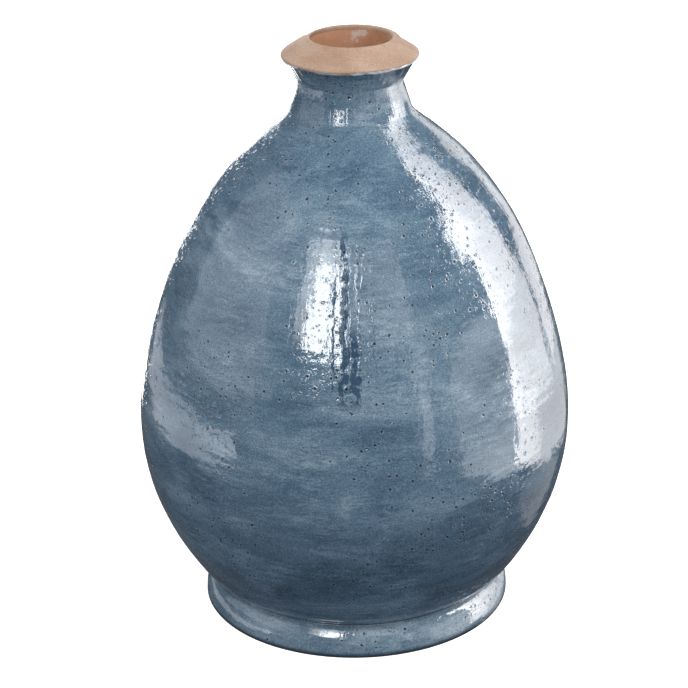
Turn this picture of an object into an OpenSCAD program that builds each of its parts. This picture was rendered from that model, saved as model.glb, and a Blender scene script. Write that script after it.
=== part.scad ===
// Glazed terracotta bottle vase: round belly, narrow neck, rolled bare-clay rim, turned foot.
// Millimetres, +Z up, origin on the table in the middle of the foot.

/* [Foot] */
// Widest diameter of the foot ring
foot_d = 187.2; // [170:0.2:190]
// Diameter of the foot ring where it stands on the table
foot_base_d = 185.4; // [166:0.2:188]
// Diameter on top of the rolled foot ring, beside the groove
foot_crest_d = 173.8; // [166:0.2:188]
// Height there
foot_h = 17.3; // [15:0.1:21]
// Diameter at the bottom of the groove between foot and belly
groove_d = 171.6; // [160:0.2:180]
// Depth of the hollow under the foot
recess_h = 10; // [6:0.5:11]
// Inner diameter of the foot ring
recess_d = 146; // [120:1:156]

/* [Body] */
// Diameter where the belly leaves the groove
waist_d = 196.8; // [192:0.2:202]
// Height where the belly leaves the groove
waist_z = 29.6; // [28:0.1:32]
// Slope of the belly there, from the horizontal
waist_slope = 55.2; // [50:0.2:60]
// Greatest diameter of the belly
belly_d = 258.6; // [240:0.2:270]
// Height of the greatest diameter
belly_z = 120.9; // [110:0.1:130]
// Diameter at the middle of the shoulder
shoulder_d = 199.6; // [190:0.2:210]
// Height at the middle of the shoulder
shoulder_z = 233.9; // [225:0.1:240]
// Slope of the shoulder there, from the horizontal
shoulder_slope = 63.5; // [60:0.1:68]
// Diameter of the neck
neck_d = 61.6; // [54:0.2:64]
// Height where the shoulder has become the neck
neck_z = 322; // [318:0.5:329]

/* [Rim] */
// Diameter of the rolled rim
rim_d = 79.4; // [74:0.2:86]
// Height of its widest line
rim_z = 342; // [340:0.1:343]
// Height where the rim's underside springs from the neck
rim_root_z = 337; // [334:0.1:338]
// Diameter of the edge between the rim's sloping top and its lip
lip_d = 52.4; // [50:0.2:56]
// Height of that edge
lip_z = 351.7; // [350:0.1:353]
// Diameter of the mouth
mouth_d = 47.2; // [46:0.2:49]

/* [Thickness] */
// Outer glaze coat
glaze_t = 0.6; // [0.4:0.1:0.8]
// Clear liner glaze on the inside
liner_t = 0.4; // [0.3:0.1:0.6]
// Height of the inner floor above the table
floor_z = 20; // [17:0.5:22]
// Slip between two thrown sections
slip_t = 0.6; // [0.4:0.1:1]

/* [Hidden] */
$fn = 128;

steps = 16;            // straight stretches in one long curve
some_steps = 10;       // in a middling curve
few_steps = 6;         // and in a short one
foot_r = foot_d / 2;
foot_base_r = foot_base_d / 2;
foot_crest_r = foot_crest_d / 2;
groove_r = groove_d / 2;
groove_z = foot_h + 0.8;
recess_r = recess_d / 2;
waist_r = waist_d / 2;
belly_r = belly_d / 2;
shoulder_r = shoulder_d / 2;
neck_r = neck_d / 2;
rim_r = rim_d / 2;
lip_r = lip_d / 2;
mouth_r = mouth_d / 2;
wall_t = 5.7;          // wall of the belly and the shoulder
bare_h = 0.8;          // bare clay wiped clean above the table so that the pot does not stick in the kiln
coat_edge_t = 0.25;    // thickness of the coat where it ends under the rim
liner_drop = 1.6;      // bare clay between the liner and the lip
lip_drop = 0.7;        // how far the mouth's edge lies below the lip's edge
liner_top_z = lip_z - lip_drop - liner_drop;

// Corners between the short curves of the foot and the rim
foot_side = [foot_r - 0.2, bare_h];
foot_crest = [foot_crest_r, foot_h];
groove = [groove_r, groove_z];
rim_root = [neck_r + 0.3, rim_root_z];
coat_edge = [rim_r - 0.05, rim_z - 0.2];
roll_top = [rim_r - 1.5, rim_z + 1.7];

// Long curves: how far each one keeps the direction it starts or ends with
waist_pull = 47;
belly_pull_down = 23;
belly_pull_up = 37.8;
shoulder_pull_down = 29.2;
shoulder_pull_up = 72.2;
neck_pull = 21.6;
groove_pull = 7;

function bezier(a, b, c, d, n) = [for (i = [0 : n]) let (t = i / n)
    pow(1 - t, 3) * a + 3 * pow(1 - t, 2) * t * b + 3 * (1 - t) * t * t * c + pow(t, 3) * d];
function heading(angle) = [cos(angle), sin(angle)];
function tail(path) = [for (i = [1 : len(path) - 1]) path[i]];
function backwards(path) = [for (i = [len(path) - 1 : -1 : 0]) path[i]];
function tangent(path, i) = let (v = path[min(i + 1, len(path) - 1)] - path[max(i - 1, 0)]) v / norm(v);
// The path moved to its left by d; every outline below runs upwards, so left is into the pot
function inset(path, d) = [for (i = [0 : len(path) - 1]) let (u = tangent(path, i))
    path[i] + d * [-u[1], u[0]]];
// The same, with the distance going evenly from d0 at the first point to d1 at the last
function taper(path, d0, d1) = [for (i = [0 : len(path) - 1]) let (u = tangent(path, i))
    path[i] + (d0 + (d1 - d0) * i / (len(path) - 1)) * [-u[1], u[0]]];

// Outline of the glazed outside, from the table to the lip
base_curve = bezier([foot_base_r, 0], [foot_base_r + 0.5, 0], foot_side - [0.3, 0.5], foot_side, few_steps);
foot_curve = bezier(foot_side, foot_side + [0.2, 6.7], foot_crest + 5 * heading(-30), foot_crest, some_steps);
land_curve = bezier(foot_crest, foot_crest + 0.6 * heading(150), groove + 0.5 * heading(-80), groove, few_steps);
waist = [waist_r, waist_z];
groove_curve = bezier(groove, groove + 1.2 * heading(100), waist - groove_pull * heading(waist_slope), waist,
                      some_steps);
waist_curve = bezier(waist, waist + waist_pull * heading(waist_slope),
                     [belly_r, belly_z - belly_pull_down], [belly_r, belly_z], steps);
shoulder = [shoulder_r, shoulder_z];
belly_curve = bezier([belly_r, belly_z], [belly_r, belly_z + belly_pull_up],
                     shoulder + shoulder_pull_down * heading(-shoulder_slope), shoulder, steps);
shoulder_curve = bezier(shoulder, shoulder + shoulder_pull_up * heading(180 - shoulder_slope),
                        [neck_r, neck_z - neck_pull], [neck_r, neck_z], steps);
neck_curve = bezier([neck_r, neck_z], [neck_r, neck_z + 5], rim_root - [0.3, 4], rim_root, some_steps);
under_curve = bezier(rim_root, rim_root + [2.2, 1.6], coat_edge - [0.9, 2.2], coat_edge, some_steps);
roll_curve = bezier(coat_edge, coat_edge + [0.1, 0.9], roll_top + [1.2, -0.8], roll_top, few_steps);
lip_curve = bezier([lip_r, lip_z], [lip_r - 1.2, lip_z + 0.8], [mouth_r + 0.1, lip_z + 0.6],
                   [mouth_r, lip_z - lip_drop], few_steps);

// Outside of the pot above the groove, and the same line on the clay under the glaze
body_line = concat(groove_curve, tail(waist_curve), tail(belly_curve), tail(shoulder_curve),
                   tail(neck_curve));
body_skin = concat(body_line, tail(under_curve));
body_clay = concat(inset(body_line, glaze_t), tail(taper(under_curve, glaze_t, coat_edge_t)));
foot_skin = concat(foot_curve, tail(land_curve));
foot_clay = inset(foot_skin, glaze_t);

// Inside of the pot, from the middle of the floor up to the straight throat
wall_line = concat(inset(concat(waist_curve, tail(belly_curve)), wall_t),
                   tail(taper(shoulder_curve, wall_t, neck_r - mouth_r)));
floor_curve = bezier([recess_r * 0.7, floor_z], [recess_r, floor_z], wall_line[0] - [6.5, 8.5],
                     wall_line[0], few_steps);
liner_skin = concat([[0, floor_z]], floor_curve, tail(wall_line),
                    [[mouth_r, neck_z + 1], [mouth_r, liner_top_z]]);
liner_back = inset(liner_skin, -liner_t);

// Heights and middle radii of the joins between the thrown sections
belly_join_z = belly_z + 6;
belly_join_r = belly_r - wall_t / 2;
neck_join_z = neck_z - 10;
neck_join_r = neck_r - 0.8;
rim_join_z = rim_root_z - slip_t;
rim_join_r = (neck_r + mouth_r) / 2;
tongue_w = 1.6;        // half width of the V tongue that locks two sections
tongue_h = 1.4;        // depth of that tongue

// All the clay, as one half section
module clay_section() {
    polygon(concat([[0, recess_h], [recess_r, recess_h], [recess_r, 0]], base_curve, foot_clay,
                   body_clay, roll_curve, lip_curve, [[mouth_r, liner_top_z]], backwards(liner_back)));
}

// Flat line at height z from the axis to past the belly
function flat_line(z) = [[0, z], [belly_d, z]];
// Line across the wall at height z with a V tongue in the middle of the wall
function join_line(r, z) = [[0, z], [r - tongue_w, z], [r, z - tongue_h], [r + tongue_w, z], [belly_d, z]];
// Line on which the body sits in the foot ring, raised by lift
function foot_line(lift) = [[0, recess_h + lift], [recess_r, recess_h + lift],
                            [groove_r - glaze_t, groove_z + lift], [belly_d, groove_z + lift]];

// The clay between two lines, turned round the axis
module thrown(low, high) {
    rotate_extrude() intersection() {
        clay_section();
        polygon(concat(low, backwards(high)));
    }
}

module foot_ring() { color("#b57a5a") thrown(flat_line(-1), foot_line(0)); }
module foot_seam_slip() { color("#8f5f48") thrown(foot_line(0), foot_line(slip_t)); }
module lower_body() { color("#b27757") thrown(foot_line(slip_t), join_line(belly_join_r, belly_join_z)); }
module belly_seam_slip() {
    color("#8f5f48")
        thrown(join_line(belly_join_r, belly_join_z), join_line(belly_join_r, belly_join_z + slip_t));
}
module upper_body() {
    color("#b27757")
        thrown(join_line(belly_join_r, belly_join_z + slip_t), join_line(neck_join_r, neck_join_z));
}
module neck_seam_slip() {
    color("#8f5f48")
        thrown(join_line(neck_join_r, neck_join_z), join_line(neck_join_r, neck_join_z + slip_t));
}
module neck_collar() {
    color("#b57a5a")
        thrown(join_line(neck_join_r, neck_join_z + slip_t), join_line(rim_join_r, rim_join_z));
}
module rim_seam_slip() {
    color("#8f5f48")
        thrown(join_line(rim_join_r, rim_join_z), join_line(rim_join_r, rim_join_z + slip_t));
}
module mouth_rim() {
    color("#c09a80")
        thrown(join_line(rim_join_r, rim_join_z + slip_t), flat_line(lip_z + 5));
}

module foot_glaze() { color("#6f8597") rotate_extrude() polygon(concat(foot_skin, backwards(foot_clay))); }
module body_glaze() { color("#587089") rotate_extrude() polygon(concat(body_skin, backwards(body_clay))); }
module liner_glaze() { color("#9b6347") rotate_extrude() polygon(concat(liner_skin, backwards(liner_back))); }

foot_ring();
foot_seam_slip();
lower_body();
belly_seam_slip();
upper_body();
neck_seam_slip();
neck_collar();
rim_seam_slip();
mouth_rim();
foot_glaze();
body_glaze();
liner_glaze();
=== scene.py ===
"""A glazed terracotta bottle vase on a pale floor: turned pieces, finishes, lamps and camera."""

import math

import bpy
import numpy as np
from mathutils import Matrix, Vector


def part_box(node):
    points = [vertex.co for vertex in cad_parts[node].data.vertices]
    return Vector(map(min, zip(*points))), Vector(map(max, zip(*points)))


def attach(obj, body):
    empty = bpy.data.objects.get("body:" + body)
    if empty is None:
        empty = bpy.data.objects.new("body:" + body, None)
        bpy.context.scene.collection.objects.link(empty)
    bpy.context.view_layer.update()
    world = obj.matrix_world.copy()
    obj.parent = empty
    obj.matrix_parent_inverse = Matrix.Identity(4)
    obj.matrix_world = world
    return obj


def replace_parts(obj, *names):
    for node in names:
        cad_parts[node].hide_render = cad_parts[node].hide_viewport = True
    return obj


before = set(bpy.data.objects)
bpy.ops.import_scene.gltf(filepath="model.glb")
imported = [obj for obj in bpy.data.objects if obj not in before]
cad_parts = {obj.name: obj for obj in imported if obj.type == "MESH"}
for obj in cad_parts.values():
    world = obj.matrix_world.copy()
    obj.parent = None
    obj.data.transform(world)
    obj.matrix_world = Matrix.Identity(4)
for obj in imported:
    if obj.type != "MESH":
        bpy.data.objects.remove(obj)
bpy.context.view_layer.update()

MM = 0.001
TURN = 2 * math.pi


# ---------------------------------------------------------------- sizes, in millimetres, from the frame
def top_of(node, axis):
    """How far a CAD node reaches along an axis (0, 1 or 2), in millimetres."""
    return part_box(node)[1][axis] / MM


FOOT_R = top_of("foot_glaze", 0)
BELLY_R = top_of("body_glaze", 0)
RIM_R = top_of("mouth_rim", 0)
ROUNDING_OF_LIP = 0.46
LIP_Z = top_of("mouth_rim", 2) - ROUNDING_OF_LIP
GROOVE_Z = top_of("foot_glaze", 2)
MOUTH_R = 23.6
WAIST_SLOPE = 55.2
SHOULDER_SLOPE = 63.5

FOOT_SIDE = np.array([FOOT_R, 0.8])
CREST = np.array([FOOT_R - 6.5, GROOVE_Z - 0.8])
GROOVE = np.array([FOOT_R - 7.6, GROOVE_Z])
WAIST = np.array([98.4, 29.6])
BELLY = np.array([BELLY_R, 120.9])
SHOULDER = np.array([99.8, 233.9])
NECK = np.array([30.8, 322.0])
RIM_ROOT = np.array([31.1, 337.0])
COAT_EDGE = np.array([RIM_R - 0.05, 341.8])
ROLL_TOP = np.array([RIM_R - 1.5, 343.7])
LIP = np.array([26.2, LIP_Z])
MOUTH = np.array([MOUTH_R, LIP_Z - 0.7])
LINER_TOP = LIP_Z - 2.3
BEHIND_LINER = np.array([MOUTH_R + 0.6, 338.0])
INSIDE_RIM = np.array([29.5, 334.5])
BACK_OF_COAT = 0.5


# ---------------------------------------------------------------- outlines
def bezier(a, b, c, d, count):
    """Points on the cubic curve (1-t)^3 a + 3(1-t)^2 t b + 3(1-t) t^2 c + t^3 d, for t from 0 to 1."""
    t = np.linspace(0, 1, count)[:, None]
    points = [np.asarray(p, float) for p in (a, b, c, d)]
    weights = ((1 - t) ** 3, 3 * (1 - t) ** 2 * t, 3 * (1 - t) * t * t, t**3)
    return sum(w * p for w, p in zip(weights, points))


def heading(degrees):
    """Unit step in the half-section at an angle above the outward direction."""
    return np.array([math.cos(math.radians(degrees)), math.sin(math.radians(degrees))])


def chain(*curves):
    """Curves joined end to end, each shared end point kept once."""
    return np.vstack([curves[0]] + [c[1:] for c in curves[1:]])


def lengths(path):
    """Distance along a path from its first point."""
    return np.concatenate([[0], np.cumsum(np.linalg.norm(np.diff(path, axis=0), axis=1))])


def resample(path, count):
    """The same path with its points at equal steps along its length."""
    along = lengths(path)
    steps = np.linspace(0, along[-1], count)
    return np.column_stack([np.interp(steps, along, path[:, k]) for k in (0, 1)])


def outward(path):
    """Unit normals on the right of a path that runs upwards, which is the outside of the pot."""
    step = np.gradient(path, axis=0)
    step /= np.linalg.norm(step, axis=1)[:, None]
    return np.column_stack([step[:, 1], -step[:, 0]])


under_curve = bezier(RIM_ROOT, RIM_ROOT + [2.2, 1.6], COAT_EDGE - [0.9, 2.2], COAT_EDGE, 24)
body_path = chain(
    bezier(GROOVE, GROOVE + 1.2 * heading(100), WAIST - 7 * heading(WAIST_SLOPE), WAIST, 24),
    bezier(WAIST, WAIST + 47 * heading(WAIST_SLOPE), BELLY - [0, 23], BELLY, 60),
    bezier(BELLY, BELLY + [0, 37.8], SHOULDER + 29.2 * heading(-SHOULDER_SLOPE), SHOULDER, 60),
    bezier(SHOULDER, SHOULDER + 72.2 * heading(180 - SHOULDER_SLOPE), NECK - [0, 21.6], NECK, 80),
    bezier(NECK, NECK + [0, 5], RIM_ROOT - [0.3, 4], RIM_ROOT, 14),
    under_curve,
)
foot_path = chain(
    bezier(FOOT_SIDE - [0.5, 0.6], FOOT_SIDE - [0.1, 0.5], FOOT_SIDE - [0, 0.3], FOOT_SIDE, 6),
    bezier(FOOT_SIDE, FOOT_SIDE + [0.2, 6.7], CREST + 5 * heading(-30), CREST, 44),
    bezier(CREST, CREST + 0.6 * heading(150), GROOVE + 0.5 * heading(-80), GROOVE, 8),
)
rim_path = chain(
    under_curve,
    bezier(COAT_EDGE, COAT_EDGE + [0.1, 0.9], ROLL_TOP + [1.2, -0.8], ROLL_TOP, 16),
    np.linspace(ROLL_TOP, LIP, 40),
    bezier(LIP, LIP + [-1.2, 0.8], MOUTH + [0.1, 1.3], MOUTH, 12),
    np.array([MOUTH, [MOUTH_R, LINER_TOP + 0.1], [MOUTH_R + 0.5, LINER_TOP - 0.3], BEHIND_LINER]),
)


# ---------------------------------------------------------------- waves that wobble the clay and the glaze
def waves(theta, along, seed, count, turns, wavelength):
    """Sum of count seeded sine waves, sin(m theta + k along + phase), scaled to about -1 to 1. m is a whole
    number in the range turns, so the wave closes round the pot, and 2 pi / k lies in wavelength, in mm."""
    rng = np.random.default_rng(seed)
    total = np.zeros(np.broadcast(theta, along).shape)
    for _ in range(count):
        m = rng.integers(turns[0], turns[1] + 1)
        k = TURN / rng.uniform(*wavelength) * rng.choice([-1, 1])
        total += rng.uniform(0.5, 1) * np.sin(m * theta + k * along + rng.uniform(0, TURN))
    return total / (0.75 * math.sqrt(count / 2) * 1.6)


def throwing(theta, along, pitch, seed):
    """Spiral left by the fingers: a sine of along / pitch that moves on by one pitch each turn, uneven
    in depth."""
    depth = 0.6 + 0.4 * waves(theta, along, seed, 6, (0, 3), (30, 120))
    drift = 0.9 * waves(theta, along, seed + 1, 5, (1, 4), (40, 90))
    return depth * np.sin(TURN * along / pitch - theta + drift)


def settle(theta, along):
    """Broad unevenness of a thrown pot after drying and firing, in mm."""
    broad = 0.22 * waves(theta, along, 5, 10, (1, 5), (70, 220))
    return broad + 0.07 * waves(theta, along, 6, 24, (5, 22), (16, 60))


# ---------------------------------------------------------------- meshes
def mesh_piece(name, points, faces, finish, masks=None):
    """A smooth-shaded mesh object at the origin, with its points in millimetres and one value a point for
    each mask."""
    mesh = bpy.data.meshes.new(name)
    mesh.from_pydata((points * MM).tolist(), [], faces.tolist())
    for label, values in (masks or {}).items():
        layer = mesh.attributes.new(label, "FLOAT", "POINT")
        layer.data.foreach_set("value", values.astype(np.float32).ravel())
    mesh.polygons.foreach_set("use_smooth", np.ones(len(mesh.polygons), bool))
    mesh.materials.append(finish)
    mesh.update()
    piece = bpy.data.objects.new(name, mesh)
    bpy.context.scene.collection.objects.link(piece)
    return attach(piece, "root")


def ring_faces(rows, columns):
    """Quads of a grid that closes on itself both ways, facing out when the rows run up the outside."""
    i, j = np.meshgrid(np.arange(rows), np.arange(columns), indexing="ij")
    up, on = (i + 1) % rows, (j + 1) % columns
    corners = (i * columns + j, i * columns + on, up * columns + on, up * columns + j)
    return np.stack(corners, -1).reshape(-1, 4)


def turned(name, radius, height, finish, masks=None):
    """A closed body of revolution: x = r cos theta, y = r sin theta, z = h, where r and h are grids of
    (place on the loop, angle), so that every section may differ a little from the next."""
    rows, columns = radius.shape
    theta = np.arange(columns) / columns * TURN
    points = np.stack([radius * np.cos(theta), radius * np.sin(theta), height], -1).reshape(-1, 3)
    return mesh_piece(name, points, ring_faces(rows, columns), finish, masks)


def shell(outer_r, outer_z, path, reach, rows):
    """Closes a coat: the outer grid, then the outline again from its end back to its start, a little
    inside."""
    every_angle = np.zeros((1, outer_r.shape[1]))
    along, normals = lengths(path), outward(path)
    back = np.linspace(1, 0, rows)[:, None] * (reach - 0.1)
    inside = [path[:, k] - BACK_OF_COAT * normals[:, k] for k in (0, 1)]
    inner = [np.interp(back, along, line) + every_angle for line in inside]
    return np.vstack([outer_r, inner[0]]), np.vstack([outer_z, inner[1]])


def near(theta, azimuth, width):
    """1 on the line at an azimuth (0 in front, 90 on the right), falling smoothly to 0 some degrees away."""
    away = (np.degrees(theta) + 90 - azimuth + 180) % 360 - 180
    return np.exp(-((away / width) ** 2))


def body_coat(finish):
    """Outer glaze from the groove above the foot to the ragged edge under the rim. Each section is the body
    outline, cut short by a seeded amount at the top, moved along its normal by the pot's unevenness, the
    throwing spiral and a bead of glaze that swells before the edge. The mask marks the milky bead."""
    columns, rows, inner_rows = 400, 216, 20
    theta = (np.arange(columns) / columns * TURN)[None, :]
    path_along, normals = lengths(body_path), outward(body_path)
    ragged = 0.35 + 0.35 * waves(theta, 0, 11, 14, (3, 60), (50, 60)) + 0.5 * near(theta, -33, 9)
    reach = path_along[-1] - np.clip(ragged, 0.02, 2.2)
    edge_rows, edge_from = 24, 0.955
    crowded = edge_from + (1 - edge_from) * (1 - (1 - np.linspace(0, 1, edge_rows)) ** 1.5)
    even = np.linspace(0, edge_from, rows - edge_rows, endpoint=False)
    spread = np.concatenate([even, crowded])[:, None]
    along = spread * reach
    radius, height = (np.interp(along, path_along, body_path[:, k]) for k in (0, 1))
    nr, nz = (np.interp(along, path_along, normals[:, k]) for k in (0, 1))
    left = reach - along
    bead_size = 0.78 + 0.5 * waves(theta, 0, 21, 10, (2, 26), (50, 60)) + 0.5 * near(theta, 47, 25)
    bead_size = np.clip(bead_size - 0.7 * near(theta, -33, 12), 0.0, 1.3)
    ends = np.clip(left / 25, 0, 1) * np.clip(along / 12, 0, 1)
    lift = (settle(theta, along) + 0.05 * throwing(theta, along, 7.5, 31)) * ends
    lift += 0.5 * bead_size * np.exp(-(((left - 1.1) / 0.9) ** 2)) - 0.2 * np.exp(-left / 0.25)
    wide = 2.3 + 0.8 * waves(theta, 0, 22, 12, (4, 40), (50, 60)) + 1.2 * near(theta, 47, 22)
    edge = np.clip(1.5 * bead_size, 0, 1) * np.exp(-((left / np.clip(wide, 1.2, 4.4)) ** 4))
    edge = np.vstack([edge, np.zeros((inner_rows, columns))])
    outer = (radius + nr * lift, height + nz * lift)
    return turned("glaze_coat", *shell(*outer, body_path, reach, inner_rows), finish, {"edge": edge})


def foot_coat(finish):
    """Glaze on the foot ring: the ring's outline with a little unevenness. The mask marks a painted highlight
    along the crest beside the groove, and a low ridge round the lower half."""
    columns, rows, inner_rows = 400, 64, 14
    theta = (np.arange(columns) / columns * TURN)[None, :]
    outer = resample(foot_path, rows)
    normals, along = outward(outer), lengths(outer)[:, None]
    lift = 0.10 * waves(theta, along, 41, 12, (2, 14), (14, 60)) + 0.03 * throwing(theta, along, 4.5, 42)
    lift = lift * np.clip(along / 2, 0, 1)
    crest_at = lengths(outer)[np.argmin(np.linalg.norm(outer - CREST, axis=1))]
    # Painted highlight: a pale line along the crest, beside the groove.
    pale = 0.30 * np.exp(-(((along - crest_at + 0.6) / 0.7) ** 2))
    pale = pale * np.clip(0.7 + 0.5 * waves(theta, along, 43, 6, (3, 20), (30, 60)), 0, 1)
    ridge = np.exp(-(((along - crest_at + 9.5 + waves(theta, 0, 45, 4, (1, 4), (50, 60))) / 0.4) ** 2))
    ridge = 0.28 * ridge * np.clip(waves(theta, 0, 44, 5, (1, 4), (50, 60)) + near(theta, -45, 30), 0, 1)
    edge = np.vstack([pale + ridge, np.zeros((inner_rows, columns))])
    radius, height = (outer[:, k : k + 1] + normals[:, k : k + 1] * lift for k in (0, 1))
    loop = shell(radius, height, foot_path, lengths(foot_path)[-1], inner_rows)
    return turned("foot_coat", *loop, finish, {"edge": edge})


def bare_rim(finish):
    """Rolled rim of bare clay: the rim's outline with the lines of the throwing, a little out of round, its
    mouth set to the right, and closed through the wall behind the liner. The mask marks glossy clear glaze
    over the back left of the lip, painted pale there as a painted highlight."""
    columns, rows, mouth_shift = 360, 150, 1.7
    theta = (np.arange(columns) / columns * TURN)[None, :]
    outer = resample(rim_path, rows)
    normals, along = outward(outer), lengths(outer)[:, None]
    to_end = lengths(outer)[-1] - along
    lift = 0.16 * waves(theta, along, 51, 8, (2, 6), (40, 90)) + 0.035 * throwing(theta, along, 2.3, 52)
    lift = (lift - 0.55 * np.exp(-along / 2.5)) * np.clip((to_end - 12) / 5, 0, 1)
    radius, height = (outer[:, k : k + 1] + normals[:, k : k + 1] * lift for k in (0, 1))
    to_lip = np.abs(along - lengths(outer)[np.argmin(np.linalg.norm(outer - LIP, axis=1))])
    radius = radius + mouth_shift * np.cos(theta) * np.exp(-((to_lip / 3.4) ** 2))
    glaze_smear_and_sheen = near(theta, -125, 28) * np.exp(-((to_lip / 3.2) ** 2))
    glaze_smear_and_sheen = glaze_smear_and_sheen * (0.75 + 0.5 * waves(theta, along, 53, 9, (3, 20), (4, 16)))
    radius = np.vstack([radius, np.full((1, columns), INSIDE_RIM[0])])
    height = np.vstack([height, np.full((1, columns), INSIDE_RIM[1])])
    glaze_smear_and_sheen = np.vstack([glaze_smear_and_sheen, np.zeros((1, columns))])
    return turned("bare_rim", radius, height, finish, {"glaze_smear_and_sheen": glaze_smear_and_sheen})


# ---------------------------------------------------------------- shader helpers
class Tree:
    """Short ways to add and join nodes in a material's or a group's node tree."""

    def __init__(self, tree):
        self.tree = tree
        self.tree.nodes.clear()

    def feed(self, socket, value):
        """Joins a socket to another node's output, or sets it to a plain value."""
        if isinstance(value, bpy.types.NodeSocket):
            self.tree.links.new(value, socket)
        else:
            socket.default_value = value

    def add(self, kind, settings=None, **inputs):
        """A node of a kind, with its settings and its inputs, named or numbered as i0, i1 and so on."""
        made = self.tree.nodes.new(kind)
        for key, value in (settings or {}).items():
            setattr(made, key, value)
        for key, value in inputs.items():
            numbered = key[0] == "i" and key[1:].isdigit()
            self.feed(made.inputs[int(key[1:]) if numbered else key.replace("_", " ")], value)
        return made

    def math(self, operation, a, b=0.0, c=0.0):
        """One arithmetic step."""
        return self.add("ShaderNodeMath", {"operation": operation}, i0=a, i1=b, i2=c).outputs[0]

    def fit(self, value, low, high, new_low=0.0, new_high=1.0):
        """The value moved from one range to another and held inside it."""
        made = self.add("ShaderNodeMapRange", {"clamp": True, "interpolation_type": "SMOOTHSTEP"})
        self.tree.links.new(value, made.inputs["Value"])
        for key, number in zip(("From Min", "From Max", "To Min", "To Max"), (low, high, new_low, new_high)):
            made.inputs[key].default_value = number
        return made.outputs["Result"]

    def noise(self, vector, stretch, scale, detail=2.0, roughness=0.5, distortion=0.0):
        """Noise on coordinates multiplied by stretch, so that it runs long in the directions with small
        numbers."""
        moved = self.add("ShaderNodeVectorMath", {"operation": "MULTIPLY"}, i0=vector, i1=stretch).outputs[0]
        values = {"Scale": scale, "Detail": detail, "Roughness": roughness, "Distortion": distortion}
        return self.add("ShaderNodeTexNoise", None, Vector=moved, **values).outputs["Fac"]

    def bump(self, height, distance, normal=None):
        """Relief of a height map, so many metres from its low to its high, on top of an earlier normal."""
        inputs = {"Strength": 1.0, "Distance": distance, "Height": height}
        if normal is not None:
            inputs["Normal"] = normal
        return self.add("ShaderNodeBump", None, **inputs).outputs[0]

    def blend(self, factor, a, b):
        """Colour a towards the plain colour b by the factor."""
        made = self.add("ShaderNodeMix", {"data_type": "RGBA"}, i0=factor, i6=a, i7=(*b, 1.0))
        return made.outputs[2]

    def ramp(self, value, *stops):
        """Colours along a value, each stop a place and a colour."""
        made = self.add("ShaderNodeValToRGB", None, Fac=value)
        while len(made.color_ramp.elements) < len(stops):
            made.color_ramp.elements.new(0.5)
        for element, (place, colour) in zip(made.color_ramp.elements, stops):
            element.position = place
            element.color = (*colour, 1.0)
        return made.outputs["Color"]


def group(name, inputs, outputs, build):
    """A shader node group with named float or vector inputs and outputs, filled by build(tree, sources)."""
    tree = bpy.data.node_groups.new(name, "ShaderNodeTree")
    for label, kind, value in inputs:
        socket = tree.interface.new_socket(label, in_out="INPUT", socket_type=kind)
        if value is not None:
            socket.default_value = value
    for label, kind in outputs:
        tree.interface.new_socket(label, in_out="OUTPUT", socket_type=kind)
    work = Tree(tree)
    source = tree.nodes.new("NodeGroupInput").outputs
    sink = tree.nodes.new("NodeGroupOutput").inputs
    for label, value in build(work, source).items():
        tree.links.new(value, sink[label])
    return tree


def use(tree, shared, **inputs):
    """A shared group placed in a material with its own values."""
    made = tree.add("ShaderNodeGroup", {"node_tree": shared})
    for key, value in inputs.items():
        tree.feed(made.inputs[key], value)
    return made.outputs


FLOAT, VECTOR = "NodeSocketFloat", "NodeSocketVector"


def build_mottle(t, s):
    """Cloud: broad soft blotches that lie flat. Fine: grains near a millimetre. Streak: brushed lines round
    the pot, which come and go."""
    place = s["Vector"]
    cloud = t.noise(place, (1.0, 1.0, 2.4), 16.0, 5.0, 0.62, 0.5)
    fine = t.noise(place, (1.0, 1.0, 1.6), 980.0, 2.0, 0.8)
    streak = t.noise(place, (0.22, 0.22, 1.0), 420.0, 5.0, 0.72, 0.6)
    worn = t.fit(t.noise(place, (0.6, 0.6, 1.0), 45.0, 3.0, 0.6), 0.35, 0.65, 0.1, 1.0)
    streak = t.math("MULTIPLY_ADD", t.math("SUBTRACT", streak, 0.5), worn, 0.5)
    return {"Cloud": cloud, "Fine": fine, "Streak": streak}


def build_pits(t, s):
    """Pinholes: small round spots, one in each cell of a loose three-way grid, of uneven size and in loose
    swarms. Dot is the dark middle, Ring the paler lip round it, Height the hollow."""
    bent = t.noise(s["Vector"], (1.0, 1.0, 1.0), 700.0, 1.0)
    kind = {"voronoi_dimensions": "3D", "feature": "F1"}
    cells = t.add("ShaderNodeTexVoronoi", kind, Vector=s["Vector"], Scale=s["Density"], Randomness=1.0)
    luck = t.add("ShaderNodeSeparateColor", None, Color=cells.outputs["Color"]).outputs[0]
    swarm = t.fit(t.noise(s["Vector"], (1.0, 1.0, 1.0), 20.0, 2.0), 0.40, 0.66)
    chance = t.fit(t.math("MULTIPLY", luck, t.math("ADD", 0.6, swarm)), 0.22, 0.95)
    size = t.math("MULTIPLY", s["Size"], t.math("ADD", 0.02, chance))
    distance = t.math("DIVIDE", cells.outputs["Distance"], s["Density"])
    distance = t.math("MULTIPLY", distance, t.math("ADD", 0.5, bent))
    share = t.math("DIVIDE", distance, size)
    dot = t.fit(share, 0.5, 1.0, 1.0, 0.0)
    ring = t.math("MULTIPLY", t.fit(share, 0.8, 1.15), t.fit(share, 1.3, 1.8, 1.0, 0.0))
    return {"Dot": dot, "Ring": ring, "Height": t.math("SUBTRACT", t.math("MULTIPLY", ring, 0.25), dot)}


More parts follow.
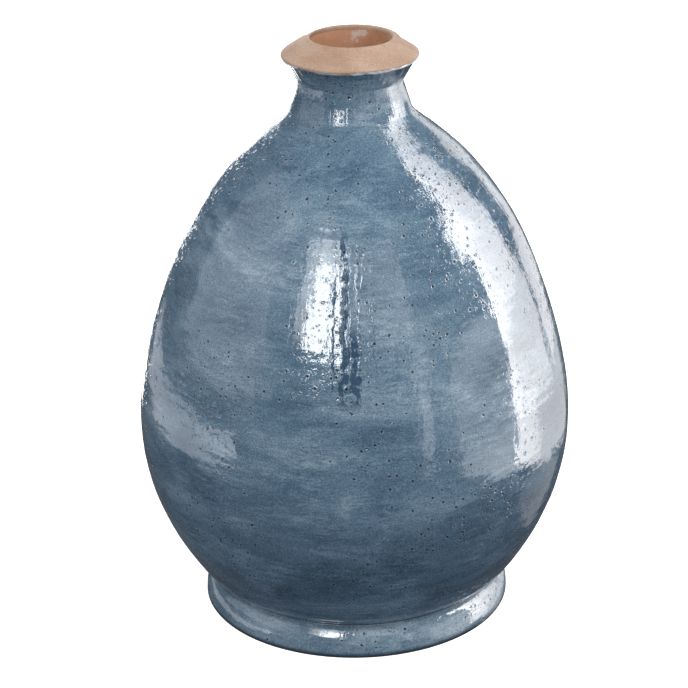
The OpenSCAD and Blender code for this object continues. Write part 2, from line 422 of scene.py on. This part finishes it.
def build_runs(t, s):
    """Vertical runs of thick glaze on the front of the shoulder, placed by the distance round the pot and the
    height, and bent by noise. Height is their relief, long ripples inside a soft window. Dark marks the
    winding runs themselves, where painted shade stands in for the highlight that the runs break."""
    split = t.add("ShaderNodeSeparateXYZ", None, Vector=s["Vector"]).outputs
    turn = t.math("ARCTAN2", split["X"], t.math("MULTIPLY", split["Y"], -1.0))
    round_pot = t.math("MULTIPLY", turn, 0.1)
    drawn = t.add("ShaderNodeCombineXYZ", None, X=round_pot, Z=split["Z"]).outputs[0]
    bend = t.math("SUBTRACT", t.noise(drawn, (1.0, 1.0, 1.0), 85.0, 4.0, 0.65), 0.5)
    swell = t.fit(t.noise(drawn, (1.0, 1.0, 0.8), 260.0, 2.0, 0.6), 0.36, 0.64, 0.15, 1.7)
    swung = t.math("MULTIPLY_ADD", bend, 0.0085, round_pot)

    def run(at, half_width, low, high):
        """One run: its place round the pot, half its width, and its lower and upper end, in metres."""
        away = t.math("ABSOLUTE", t.math("SUBTRACT", swung, at))
        past = t.math("SUBTRACT", away, t.math("MULTIPLY", swell, half_width))
        foot, head = t.fit(split["Z"], low, low + 0.008), t.fit(split["Z"], high - 0.012, high, 1.0, 0.0)
        tall = t.math("MULTIPLY", foot, head)
        return t.math("MULTIPLY", t.fit(past, -0.0001, 0.0002, 1.0, 0.0), tall)

    dark = t.math("MAXIMUM", run(-0.0050, 0.0016, 0.172, 0.268), run(0.0008, 0.0015, 0.172, 0.222))
    dark = t.math("MAXIMUM", dark, run(-0.0100, 0.0004, 0.178, 0.250))
    hair = t.math("MAXIMUM", run(0.0030, 0.0003, 0.19, 0.262), run(0.0105, 0.0002, 0.185, 0.24))
    dark = t.math("MAXIMUM", dark, t.math("MULTIPLY", hair, 0.5))
    drift = t.add("ShaderNodeCombineXYZ", None, X=swung, Z=split["Z"]).outputs[0]
    lines = t.noise(drift, (1.0, 1.0, 0.14), 230.0, 3.0, 0.55)
    left, right = t.fit(round_pot, -0.010, -0.004), t.fit(round_pot, 0.008, 0.020, 1.0, 0.0)
    window = t.math("MULTIPLY", left, right)
    window = t.math("MULTIPLY", window, t.fit(split["Z"], 0.170, 0.19))
    window = t.math("MULTIPLY", window, t.fit(split["Z"], 0.252, 0.27, 1.0, 0.0))
    relief = t.math("MULTIPLY", lines, t.math("MULTIPLY_ADD", window, 0.85, 0.15))
    return {"Height": relief, "Dark": dark}


def build_clay(t, s):
    """Bare fired clay. Tone: soft patches. Speck: small dark and pale grains. Height: the grain's relief."""
    place = s["Vector"]
    tone = t.noise(place, (1.0, 1.0, 1.6), 45.0, 4.0, 0.6)
    speck = t.noise(place, (1.0, 1.0, 1.0), s["Grain"], 3.0, 0.75)
    lines = t.noise(place, (0.06, 0.06, 1.0), 1300.0, 2.0, 0.5)
    height = t.math("ADD", t.math("MULTIPLY", speck, 0.7), t.math("MULTIPLY", lines, 0.3))
    return {"Tone": tone, "Speck": speck, "Height": height}


mottle = group(
    "glaze mottle",
    [("Vector", VECTOR, None)],
    [("Cloud", FLOAT), ("Fine", FLOAT), ("Streak", FLOAT)],
    build_mottle,
)
pits = group(
    "pinholes",
    [("Vector", VECTOR, None), ("Density", FLOAT, 130.0), ("Size", FLOAT, 0.001)],
    [("Dot", FLOAT), ("Ring", FLOAT), ("Height", FLOAT)],
    build_pits,
)
runs = group("glaze runs", [("Vector", VECTOR, None)], [("Height", FLOAT), ("Dark", FLOAT)], build_runs)
clay = group(
    "clay grain",
    [("Vector", VECTOR, None), ("Grain", FLOAT, 900.0)],
    [("Tone", FLOAT), ("Speck", FLOAT), ("Height", FLOAT)],
    build_clay,
)


def finish_tree(name):
    """A new node material, with its tree and the place on the piece."""
    material = bpy.data.materials.new(name)
    material.use_nodes = True
    tree = Tree(material.node_tree)
    place = tree.add("ShaderNodeTexCoord").outputs["Object"]
    return material, tree, place


def close_finish(tree, **inputs):
    """Ends a material in a Principled shader with its steady numbers on the shader's own sockets."""
    shader = tree.add("ShaderNodeBsdfPrincipled", None, **inputs)
    tree.add("ShaderNodeOutputMaterial", None, Surface=shader.outputs[0])


# Colour of the painted shade along the runs.
RUN_SHADE = (0.030, 0.066, 0.118)
PINHOLE = (0.010, 0.021, 0.040)
PINHOLE_LIP = (0.30, 0.37, 0.42)
# Milky glaze of the bead under the rim, also used for the painted highlight on the foot's crest.
MILKY_AND_HIGHLIGHT = (0.56, 0.62, 0.66)
# Colour of the painted shade along the foot's lowest edge.
BOTTOM_SHADE = (0.012, 0.020, 0.034)
GLAZE_TONES = (
    (0.05, (0.030, 0.056, 0.088)),
    (0.32, (0.070, 0.120, 0.175)),
    (0.52, (0.106, 0.178, 0.250)),
    (0.76, (0.182, 0.268, 0.340)),
    (1.0, (0.33, 0.42, 0.49)),
)


def blue_glaze(name, lift, painted_low_shade):
    """Glossy blue-grey glaze: cloudy bands, brushed streaks, fine grain, pinholes and dark runs with painted
    shade along them, painted shade low on the belly and along the foot's lowest edge, and milky where the edge
    mask says that it ends thick, with a painted highlight along the foot's crest. Lift makes the whole coat
    paler as painted light, and the last argument says how far the painted shade darkens down the belly."""
    material, t, place = finish_tree(name)
    look = use(t, mottle, Vector=place)
    big = use(t, pits, Vector=place, Density=245.0, Size=0.00098)
    small = use(t, pits, Vector=place, Density=500.0, Size=0.00052)
    drips = use(t, runs, Vector=place)
    height = t.add("ShaderNodeSeparateXYZ", None, Vector=place).outputs["Z"]
    # Painted shade: the glaze is darkened towards the lower belly, from 16 cm down to 2 cm above the table.
    low = t.fit(height, 0.02, 0.16, 1.0, 0.0)
    shade = t.math("MULTIPLY_ADD", t.math("SUBTRACT", look["Cloud"], 0.5), 1.30, 0.61 + lift)
    shade = t.math("MULTIPLY_ADD", t.math("SUBTRACT", look["Fine"], 0.5), 1.25, shade)
    shade = t.math("MULTIPLY_ADD", t.math("SUBTRACT", look["Streak"], 0.5), 1.25, shade)
    shade = t.math("MULTIPLY_ADD", low, -painted_low_shade, shade)
    colour = t.ramp(shade, *GLAZE_TONES)
    # Painted shade along the runs, darker than the glaze, for the highlight that the runs break.
    colour = t.blend(t.math("MULTIPLY", drips["Dark"], 0.85), colour, RUN_SHADE)
    colour = t.blend(t.math("MULTIPLY", big["Ring"], 0.16), colour, PINHOLE_LIP)
    colour = t.blend(t.math("MULTIPLY", big["Dot"], 0.95), colour, PINHOLE)
    colour = t.blend(t.math("MULTIPLY", small["Dot"], 0.75), colour, PINHOLE)
    # The edge mask: the milky bead under the rim on the body, and on the foot a painted highlight along the
    # crest and the low ridge.
    edge = t.add("ShaderNodeAttribute", {"attribute_name": "edge"}).outputs["Fac"]
    crackled = t.math("MULTIPLY_ADD", t.math("SUBTRACT", look["Fine"], 0.5), 0.9, edge)
    colour = t.blend(t.fit(crackled, 0.12, 0.75, 0.0, 0.92), colour, MILKY_AND_HIGHLIGHT)
    # Painted shade: a dark line along the lowest edge of the foot, fading out about 4 mm above the table.
    bottom = t.fit(height, 0.0012, 0.0042, 0.9, 0.0)
    colour = t.blend(bottom, colour, BOTTOM_SHADE)
    roughness = t.math("MULTIPLY_ADD", look["Fine"], 0.04, 0.005)
    roughness = t.math("MULTIPLY_ADD", big["Dot"], 0.1, roughness)
    ripple = t.noise(place, (1.0, 1.0, 1.4), 80.0, 2.0, 0.5)
    peel = t.noise(place, (1.0, 1.0, 1.0), 330.0, 2.0, 0.5)
    normal = t.bump(ripple, 0.00028)
    normal = t.bump(drips["Height"], 0.0010, normal)
    normal = t.bump(look["Streak"], 0.00006, normal)
    normal = t.bump(peel, 0.00005, normal)
    normal = t.bump(big["Height"], 0.00016, normal)
    normal = t.bump(small["Height"], 0.00007, normal)
    dull = t.math("MAXIMUM", drips["Dark"], t.math("MULTIPLY", big["Dot"], 0.35))
    level = t.math("MULTIPLY_ADD", dull, -0.42, 0.5)
    close_finish(t, Base_Color=colour, Roughness=roughness, Normal=normal, IOR=1.58, Specular_IOR_Level=level)
    return material


def rim_clay():
    """Bare clay of the rim: pinkish buff with soft patches, specks, the lines of the throwing, and glossy
    clear glaze on the back of the lip with a painted highlight."""
    material, t, place = finish_tree("rim_clay")
    look = use(t, clay, Vector=place, Grain=1100.0)
    tones = ((0.3, (0.40, 0.232, 0.142)), (0.5, (0.47, 0.303, 0.203)), (0.72, (0.55, 0.385, 0.28)))
    colour = t.ramp(look["Tone"], *tones)
    colour = t.blend(t.fit(look["Speck"], 0.47, 0.31, 0.0, 0.75), colour, (0.30, 0.15, 0.085))
    colour = t.blend(t.fit(look["Speck"], 0.55, 0.72, 0.0, 0.55), colour, (0.70, 0.57, 0.46))
    glaze_smear_and_sheen = t.add("ShaderNodeAttribute", {"attribute_name": "glaze_smear_and_sheen"}).outputs["Fac"]
    glaze_smear_and_sheen = t.fit(t.math("MULTIPLY_ADD", t.math("SUBTRACT", look["Tone"], 0.5), 1.6, glaze_smear_and_sheen), 0.45, 0.75)
    # Painted highlight: the glossy mark on the back of the lip is painted pale grey for its sheen. Its lower
    # roughness is its real gloss.
    colour = t.blend(t.math("MULTIPLY", glaze_smear_and_sheen, 0.65), colour, (0.66, 0.62, 0.58))
    normal = t.bump(look["Height"], 0.00022)
    roughness = t.math("MULTIPLY_ADD", look["Speck"], 0.2, 0.66)
    roughness = t.math("MULTIPLY_ADD", glaze_smear_and_sheen, -0.45, roughness)
    close_finish(t, Base_Color=colour, Roughness=roughness, Normal=normal, IOR=1.45)
    return material


def terracotta(name, light, dark, grain):
    """Plain fired red clay between two tones."""
    material, t, place = finish_tree(name)
    look = use(t, clay, Vector=place, Grain=grain)
    colour = t.ramp(look["Tone"], (0.3, dark), (0.7, light))
    colour = t.blend(t.fit(look["Speck"], 0.42, 0.30, 0.0, 0.5), colour, tuple(0.4 * c for c in dark))
    normal = t.bump(look["Height"], 0.0002)
    roughness = t.math("MULTIPLY_ADD", look["Speck"], 0.15, 0.75)
    close_finish(t, Base_Color=colour, Roughness=roughness, Normal=normal, IOR=1.45)
    return material


def clear_liner():
    """Thin clear glaze over the red clay inside: warm brown with milky patches and a painted highlight high at
    the back, glossy.
    """
    material, t, place = finish_tree("clear_liner")
    look = use(t, clay, Vector=place, Grain=700.0)
    milky = t.noise(place, (1.0, 1.0, 1.0), 120.0, 3.0, 0.6)
    colour = t.ramp(look["Tone"], (0.3, (0.54, 0.27, 0.155)), (0.7, (0.74, 0.43, 0.275)))
    split = t.add("ShaderNodeSeparateXYZ", None, Vector=place).outputs
    # Painted highlight: a pale spot high on the back of the liner, a little right of the middle, added to the
    # milky mask.
    painted_highlight = t.math("MULTIPLY", t.fit(split["X"], -0.001, 0.004), t.fit(split["X"], 0.008, 0.012, 1.0, 0.0))
    high_behind = t.math("MULTIPLY", t.fit(split["Y"], 0.0, 0.01), t.fit(split["Z"], 0.3435, 0.3465))
    painted_highlight = t.math("MULTIPLY", painted_highlight, high_behind)
    milky = t.math("MULTIPLY_ADD", painted_highlight, 0.13, milky)
    colour = t.blend(t.fit(milky, 0.60, 0.70, 0.0, 0.65), colour, (0.76, 0.71, 0.67))
    normal = t.bump(look["Height"], 0.0001)
    roughness = t.math("MULTIPLY_ADD", milky, 0.25, 0.15)
    close_finish(t, Base_Color=colour, Roughness=roughness, Normal=normal, IOR=1.5)
    return material


# ---------------------------------------------------------------- the vase
body_finish = blue_glaze("blue_glaze", 0.0, 0.30)
# Painted light: the foot's copy of the glaze is made paler by a lift of 0.19, for the strong light on the
# foot, and has no painted low shade.
lit_foot_finish = blue_glaze("blue_glaze_foot_lit", 0.19, 0.0)
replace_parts(body_coat(body_finish), "body_glaze")
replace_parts(foot_coat(lit_foot_finish), "foot_glaze")
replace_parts(bare_rim(rim_clay()), "mouth_rim")

red_clay = terracotta("terracotta", (0.42, 0.21, 0.12), (0.31, 0.14, 0.075), 700.0)
slip = terracotta("slip", (0.30, 0.14, 0.08), (0.21, 0.09, 0.05), 1200.0)
for material, names in (
    (red_clay, ("foot_ring", "lower_body", "upper_body", "neck_collar")),
    (slip, ("foot_seam_slip", "belly_seam_slip", "neck_seam_slip", "rim_seam_slip")),
    (clear_liner(), ("liner_glaze",)),
):
    for name in names:
        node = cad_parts[name]
        node.data.materials.clear()
        node.data.materials.append(material)


# ---------------------------------------------------------------- floor, lamps and camera
def floor():
    """Large pale floor that only the camera sees, and only from above, so that the vase's own lamps decide
    what its glaze mirrors."""
    mesh = bpy.data.meshes.new("floor")
    side = 6.0
    corners = [(-side, -side, 0), (side, -side, 0), (side, side, 0), (-side, side, 0)]
    mesh.from_pydata(corners, [], [(0, 1, 2, 3)])
    piece = bpy.data.objects.new("floor", mesh)
    bpy.context.scene.collection.objects.link(piece)
    material, t, _ = finish_tree("floor_white")
    shader = t.add("ShaderNodeBsdfDiffuse", None, Color=(0.9, 0.9, 0.9, 1.0))
    bright = t.add("ShaderNodeEmission", None, Color=(1.0, 1.0, 1.0, 1.0), Strength=1.0)
    both = t.add("ShaderNodeAddShader", None, i0=shader.outputs[0], i1=bright.outputs[0])
    clear = t.add("ShaderNodeBsdfTransparent")
    under = t.add("ShaderNodeNewGeometry").outputs["Backfacing"]
    mix = t.add("ShaderNodeMixShader", None, i0=under, i1=both.outputs[0], i2=clear.outputs[0])
    t.add("ShaderNodeOutputMaterial", None, Surface=mix.outputs[0])
    mesh.materials.append(material)
    for ray in ("diffuse", "glossy", "transmission", "shadow"):
        setattr(piece, "visible_" + ray, False)


WHITE, COOL, WARM = (1, 1, 1), (0.94, 0.95, 1.0), (1.0, 0.955, 0.94)
MIDDLE = 0.16


def direction(azimuth, elevation):
    """Unit vector from the vase: azimuth 0 is the front, 90 the right, elevation above the horizon."""
    a, e = math.radians(azimuth), math.radians(elevation)
    return Vector((math.sin(a) * math.cos(e), -math.cos(a) * math.cos(e), math.sin(e)))


def lamp(name, back, place, size, radiance, colour):
    """A rectangular lamp at a place, of some width and height, shining against the direction back."""
    data = bpy.data.lights.new(name, "AREA")
    data.shape = "RECTANGLE"
    data.size, data.size_y = size
    data.energy = radiance * math.pi * size[0] * size[1]
    data.color = colour
    piece = bpy.data.objects.new(name, data)
    bpy.context.scene.collection.objects.link(piece)
    piece.location = place
    piece.rotation_mode = "QUATERNION"
    piece.rotation_quaternion = back.to_track_quat("Z", "Y")
    return piece


def soft(name, azimuth, elevation, distance, size, radiance):
    """A large lamp that lights the vase without showing in its glaze."""
    back = direction(azimuth, elevation)
    place = Vector((0, 0, MIDDLE)) + back * distance
    lamp(name, back, place, size, radiance, WHITE).visible_glossy = False


def card(name, azimuth, distance, sides, heights, radiance, colour=WHITE, fade=0.0):
    """An upright bright card that shows only in the glaze. Sides are its left and right edges in metres
    from the middle line at its azimuth, heights its lower and upper edges above the table. Fade is how fast
    it dims from its left edge: radiance times exp(-fade u)."""
    back = direction(azimuth, 0)
    along = Vector((math.cos(math.radians(azimuth)), math.sin(math.radians(azimuth)), 0))
    place = back * distance + along * (sum(sides) / 2) + Vector((0, 0, sum(heights) / 2))
    size = (sides[1] - sides[0], heights[1] - heights[0])
    piece = lamp(name, back, place, size, radiance, colour)
    piece.visible_diffuse = False
    if fade:
        piece.data.use_nodes = True
        t = Tree(piece.data.node_tree)
        point = t.add("ShaderNodeNewGeometry").outputs["Position"]
        far = t.add("ShaderNodeVectorMath", {"operation": "DOT_PRODUCT"}, i0=point, i1=along).outputs["Value"]
        dim = t.math("EXPONENT", t.math("MULTIPLY", t.math("SUBTRACT", far, sides[0]), -fade))
        glow = t.add("ShaderNodeEmission", None, Strength=dim)
        t.add("ShaderNodeOutputLight", None, Surface=glow.outputs[0])


def place_lamps():
    """Soft studio light: a tall panel on the right, brighter towards its top, with a dark gap and a bright
    lamp at its edge, a window in front, low cards and haze on both sides, a white sheet behind, and large
    soft lamps that only light the vase."""
    for name, sides, heights, radiance in (
        ("panel_right_high", (-1.02, -0.17), (0.26, 2.4), 16.5),
        ("panel_right_mid", (-1.02, -0.07), (-0.14, 0.26), 11.5),
        ("panel_right_low", (-1.02, -0.05), (-0.50, -0.14), 7.0),
        ("panel_back_high", (0.28, 0.74), (0.19, 0.62), 2.6),
        ("panel_back_mid", (0.0, 0.62), (-0.14, 0.19), 3.2),
        ("panel_back_low", (-0.05, 0.40), (-0.46, -0.14), 1.9),
    ):
        card(name, 130, 1.2, sides, heights, radiance, WARM, 1.3)
    card("panel_foot", 130, 1.2, (-0.6, 0.2), (-0.90, -0.50), 0.5, WARM)
    card("panel_lamp", 85, 1.3, (-0.14, 0.13), (0.72, 1.10), 14.0)
    card("low_card_right", 90, 1.25, (-0.95, 0.42), (-0.44, -0.06), 2.4, WARM)
    card("haze_right", 90, 1.25, (-0.95, 0.1), (-0.06, 0.42), 1.5, WARM)
    card("window_front", -17, 1.25, (-0.24, 0.10), (0.50, 1.25), 17.0)
    card("window_top", -17, 1.25, (-0.24, 0.10), (1.25, 1.62), 6.0)
    card("window_side", -17, 1.25, (-0.42, -0.24), (0.60, 1.50), 4.0)
    card("window_far", 18, 1.25, (-0.28, 0.40), (0.55, 1.55), 1.6, COOL)
    card("strip_right", 37, 1.2, (-0.09, 0.04), (-0.15, 0.39), 2.2, COOL)
    card("haze_left", -80, 1.3, (-0.8, 0.7), (0.15, 1.9), 0.9, COOL)
    card("low_card_left", -105, 1.2, (-0.9, 1.15), (-0.30, -0.06), 0.75, COOL, -0.75)
    card("sheet_behind", -165, 1.4, (-0.55, 0.33), (-0.45, 1.6), 5.0)
    soft("sky_soft", 20, 72, 1.6, (1.8, 1.8), 1.5)
    soft("front_soft", 8, 25, 1.9, (2.4, 1.6), 1.1)
    soft("right_soft", 85, 20, 1.7, (1.6, 1.6), 1.2)
    soft("left_soft", -80, 15, 1.7, (1.4, 1.4), 0.7)
    soft("back_soft", 180, 25, 1.9, (2.0, 1.6), 0.9)


def surround():
    """White to the camera, a dim grey to everything else."""
    world = bpy.data.worlds.new("surround")
    bpy.context.scene.world = world
    world.use_nodes = True
    t = Tree(world.node_tree)
    ray = t.add("ShaderNodeLightPath").outputs
    dim = t.math("MULTIPLY_ADD", ray["Is Glossy Ray"], -0.25, 0.35)
    grey = t.add("ShaderNodeBackground", None, Color=(0.86, 0.91, 1.0, 1.0), Strength=dim)
    white = t.add("ShaderNodeBackground", None, Color=(1.0, 1.0, 1.0, 1.0), Strength=1.0)
    mix = t.add("ShaderNodeMixShader", None, i0=ray["Is Camera Ray"], i1=grey.outputs[0], i2=white.outputs[0])
    t.add("ShaderNodeOutputWorld", None, Surface=mix.outputs[0])


def place_camera():
    """Camera 1.4 m from the vase's middle, looking down by 23 degrees, with a long lens and a slight roll.
    The view is 688 steps of 0.6 mm wide at the vase's middle, and the vase stands 9.5 steps off its centre."""
    distance, pitch, roll = 1.4, math.radians(23.0), math.radians(0.75)
    look_at = Vector((0, 0, 0.162))
    back = Vector((0, -math.cos(pitch), math.sin(pitch)))
    right, up = Vector((1, 0, 0)), Vector((0, math.sin(pitch), math.cos(pitch)))
    rolled_right = right * math.cos(roll) - up * math.sin(roll)
    rolled_up = right * math.sin(roll) + up * math.cos(roll)
    data = bpy.data.cameras.new("camera")
    data.sensor_width = 36.0
    steps, step = 688, 0.0006
    data.lens = distance / step / steps * data.sensor_width
    data.shift_x = -9.5 / steps
    camera = bpy.data.objects.new("camera", data)
    turn = Matrix((rolled_right, rolled_up, back)).transposed().to_4x4()
    camera.matrix_world = Matrix.Translation(look_at + back * distance) @ turn
    bpy.context.scene.collection.objects.link(camera)
    bpy.context.scene.camera = camera


floor()
place_lamps()
surround()
place_camera()
bpy.context.scene.view_settings.view_transform = "Standard"
